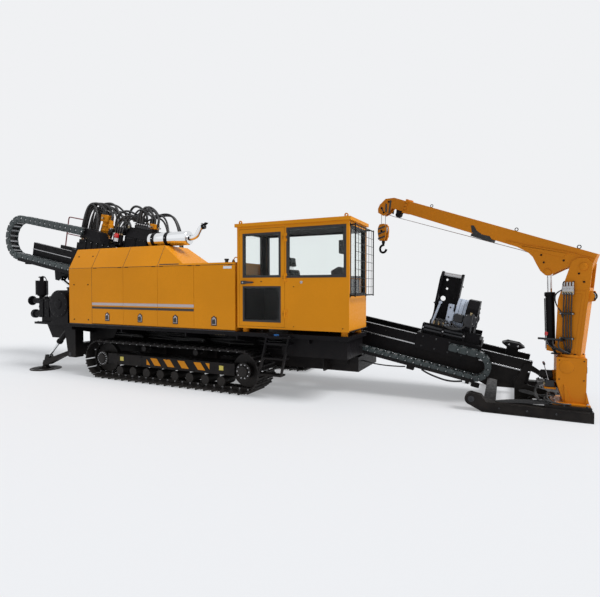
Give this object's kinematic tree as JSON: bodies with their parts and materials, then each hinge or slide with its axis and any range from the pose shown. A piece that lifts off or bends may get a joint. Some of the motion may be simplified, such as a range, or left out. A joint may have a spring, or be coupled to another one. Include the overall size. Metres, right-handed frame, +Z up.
{
  "type": "horizontal directional drill",
  "caption": "Tracked horizontal directional drill with a leaning mast, side cab and hood, sliding power head, vises, anchor foot and a slewing pipe crane.",
  "frame": {"origin": "on the ground under the middle of the machine's bounding box", "axes": "+X to the front where the drill string enters the ground, +Y to the machine's left, +Z up"},
  "size_m": [14.7228, 3.4, 4.3924],
  "materials": {
    "paint": "machine orange-yellow paint, satin",
    "boom_paint": "orange paint",
    "black_paint": "black chassis paint, satin",
    "track_steel": "dark track steel",
    "bright_steel": "machined steel",
    "chrome": "polished",
    "chain": "dark teal-grey",
    "hose": "black hose",
    "glass": "tinted glass",
    "seat": "black cloth and vinyl",
    "plastic": "dark moulded plastic",
    "red_paint": "dark red paint"
  },
  "bodies": {
    "chassis": {"chassis_frame": "black_paint", "side_decks": "black_paint", "track_left": "track_steel", "track_right": "track_steel", "track_frames": "black_paint", "running_gear": "track_steel", "hood_shell": "paint", "engine_block": "black_paint", "exhaust": "chrome", "cab_shell": "paint", "cab_glass": "glass", "cab_seat": "seat", "cab_console": "plastic", "window_guard": "black_paint", "cab_steps": "black_paint", "mud_pump": "black_paint", "far_tanks": "black_paint"},
    "cab_door": {"cab_door": "paint", "cab_door_glass": "glass"},
    "leg_left": {"leg_left": "black_paint"},
    "leg_left_barrel": {"leg_left_barrel": "black_paint"},
    "leg_left_rod": {"leg_left_rod": "chrome"},
    "leg_right": {"leg_right": "black_paint"},
    "leg_right_barrel": {"leg_right_barrel": "black_paint"},
    "leg_right_rod": {"leg_right_rod": "chrome"},
    "mast": {"mast_beam": "black_paint", "mast_troughs": "black_paint", "boom_rest": "black_paint", "handrail": "red_paint", "rear_chain_lower": "chain", "front_chain_lower": "chain"},
    "lift_barrels": {"lift_barrels": "black_paint"},
    "lift_rods": {"lift_rods": "chrome"},
    "carriage": {"carriage_frame": "black_paint", "drive_gearbox": "black_paint", "drive_motors": "boom_paint", "carriage_hoses": "hose", "rear_chain_upper": "chain"},
    "rear_bend": {"rear_chain_bend": "chain"},
    "spindle": {"spindle": "bright_steel"},
    "vise": {"vise_sled": "black_paint", "vise_plates": "black_paint", "front_chain_upper": "chain"},
    "front_bend": {"front_chain_bend": "chain"},
    "breakout": {"breakout_clamp": "black_paint"},
    "foot": {"foot_frame": "black_paint", "crane_pedestal": "boom_paint"},
    "crane": {"crane_column": "boom_paint"},
    "luff_barrel": {"luff_barrel": "black_paint"},
    "luff_rod": {"luff_rod": "chrome"},
    "boom": {"boom_base": "boom_paint"},
    "boom_tip": {"boom_tip": "boom_paint"},
    "hook": {"hook_block": "boom_paint"},
    "hood_door_1": {"hood_door_1": "paint"},
    "hood_door_2": {"hood_door_2": "paint"},
    "hood_door_3": {"hood_door_3": "paint"},
    "hood_door_4": {"hood_door_4": "paint"}
  },
  "joints": [
    {"name": "cab_door_hinge", "type": "hinge", "parent": "chassis", "child": "cab_door", "pos_m": [2.4525, -1.603, 2.2], "axis": [0, 0, 1], "range_deg": [0, 100]},
    {"name": "leg_left_swing", "type": "hinge", "parent": "chassis", "child": "leg_left", "pos_m": [-3.35, 1.35, 0.45], "axis": [0, 1, 0], "range_deg": [0, 40]},
    {"name": "leg_left_barrel_swing", "type": "hinge", "parent": "chassis", "child": "leg_left_barrel", "pos_m": [-3.48, 1.35, 1.08], "axis": [0, 1, 0], "range_deg": [0, 34]},
    {"name": "leg_left_rod_slide", "type": "slide", "parent": "leg_left_barrel", "child": "leg_left_rod", "axis": [0.7252, 0, 0.6885], "range_m": [0, 0.45]},
    {"name": "leg_right_swing", "type": "hinge", "parent": "chassis", "child": "leg_right", "pos_m": [-3.35, -1.35, 0.45], "axis": [0, 1, 0], "range_deg": [0, 40]},
    {"name": "leg_right_barrel_swing", "type": "hinge", "parent": "chassis", "child": "leg_right_barrel", "pos_m": [-3.48, -1.35, 1.08], "axis": [0, 1, 0], "range_deg": [0, 34]},
    {"name": "leg_right_rod_slide", "type": "slide", "parent": "leg_right_barrel", "child": "leg_right_rod", "axis": [0.7252, 0, 0.6885], "range_m": [0, 0.45]},
    {"name": "mast_tilt", "type": "hinge", "parent": "chassis", "child": "mast", "pos_m": [3.35, 0.3, 0.86], "axis": [0, -1, 0], "range_deg": [0, 6]},
    {"name": "lift_barrel_swing", "type": "hinge", "parent": "chassis", "child": "lift_barrels", "pos_m": [-3.2, 0.3, 0.79], "axis": [0, -1, 0], "range_deg": [0, 20]},
    {"name": "lift_rod_slide", "type": "slide", "parent": "lift_barrels", "child": "lift_rods", "axis": [0.8618, 0, -0.5073], "range_m": [0, 0.32]},
    {"name": "carriage_slide", "type": "slide", "parent": "mast", "child": "carriage", "axis": [0.9808, 0, -0.1953], "range_m": [-0.6, 5], "deforming": ["rear_chain_upper", "rear_chain_lower"]},
    {"name": "rear_bend_slide", "type": "slide", "parent": "mast", "child": "rear_bend", "axis": [0.9808, 0, -0.1953], "range_m": [-0.3, 2.5]},
    {"name": "spindle_spin", "type": "hinge", "parent": "carriage", "child": "spindle", "pos_m": [-1.83751, 0.3, 2.8833], "axis": [0.9808, 0, -0.1953], "continuous": true},
    {"name": "vise_slide", "type": "slide", "parent": "mast", "child": "vise", "axis": [0.9808, 0, -0.1953], "range_m": [-0.5, 0.2], "deforming": ["front_chain_upper", "front_chain_lower"]},
    {"name": "front_bend_slide", "type": "slide", "parent": "mast", "child": "front_bend", "axis": [0.9808, 0, -0.1953], "range_m": [-0.25, 0.1]},
    {"name": "breakout_turn", "type": "hinge", "parent": "vise", "child": "breakout", "pos_m": [5.25332, 0.3, 1.47156], "axis": [0.9808, 0, -0.1953], "range_deg": [-20, 20]},
    {"name": "foot_tilt", "type": "hinge", "parent": "mast", "child": "foot", "pos_m": [6.24756, 0.3, 0.42222], "axis": [0, -1, 0], "range_deg": [-8, 10]},
    {"name": "crane_slew", "type": "hinge", "parent": "foot", "child": "crane", "pos_m": [6.98, -0.45, 0.95], "axis": [0, 0, -1], "range_deg": [0, 260]},
    {"name": "boom_luff", "type": "hinge", "parent": "crane", "child": "boom", "pos_m": [7.14914, -0.51156, 2.355], "axis": [0.342, 0.9397, 0], "range_deg": [-15, 50]},
    {"name": "luff_barrel_swing", "type": "hinge", "parent": "crane", "child": "luff_barrel", "pos_m": [6.70749, -0.35081, 1.06], "axis": [0.342, 0.9397, 0], "range_deg": [-5, 5]},
    {"name": "luff_rod_slide", "type": "slide", "parent": "luff_barrel", "child": "luff_rod", "axis": [-0.0305, 0.0111, 0.9995], "range_m": [-0.14, 0.47]},
    {"name": "boom_extend", "type": "slide", "parent": "boom", "child": "boom_tip", "axis": [-0.8773, 0.3193, 0.3584], "range_m": [0, 2.2]},
    {"name": "hook_swing", "type": "hinge", "parent": "boom_tip", "child": "hook", "pos_m": [3.63298, 0.76821, 3.72708], "axis": [-0.342, -0.9397, 0], "range_deg": [-15, 50]},
    {"name": "hood_door_1_hinge", "type": "hinge", "parent": "chassis", "child": "hood_door_1", "pos_m": [-1.96, -1.592, 2.4725], "axis": [-1, 0, 0], "range_deg": [0, 75]},
    {"name": "hood_door_2_hinge", "type": "hinge", "parent": "chassis", "child": "hood_door_2", "pos_m": [-0.995, -1.592, 2.4725], "axis": [-1, 0, 0], "range_deg": [0, 75]},
    {"name": "hood_door_3_hinge", "type": "hinge", "parent": "chassis", "child": "hood_door_3", "pos_m": [-0.04, -1.592, 2.4725], "axis": [-1, 0, 0], "range_deg": [0, 75]},
    {"name": "hood_door_4_hinge", "type": "hinge", "parent": "chassis", "child": "hood_door_4", "pos_m": [0.915, -1.592, 2.4725], "axis": [-1, 0, 0], "range_deg": [0, 75]}
  ],
  "couplings": [
    {"joint": "leg_left_barrel_swing", "follows": "leg_left_swing", "ratio": 0.805},
    {"joint": "leg_left_rod_slide", "follows": "leg_left_swing", "m_per_rad": 0.608},
    {"joint": "leg_right_barrel_swing", "follows": "leg_right_swing", "ratio": 0.805},
    {"joint": "leg_right_rod_slide", "follows": "leg_right_swing", "m_per_rad": 0.608},
    {"joint": "lift_barrel_swing", "follows": "mast_tilt", "ratio": 3.12},
    {"joint": "lift_rod_slide", "follows": "mast_tilt", "m_per_rad": 2.45},
    {"joint": "rear_bend_slide", "follows": "carriage_slide", "ratio": 0.5},
    {"joint": "front_bend_slide", "follows": "vise_slide", "ratio": 0.5},
    {"joint": "luff_barrel_swing", "follows": "boom_luff", "ratio": -0.05},
    {"joint": "luff_rod_slide", "follows": "boom_luff", "m_per_rad": 0.49}
  ]
}
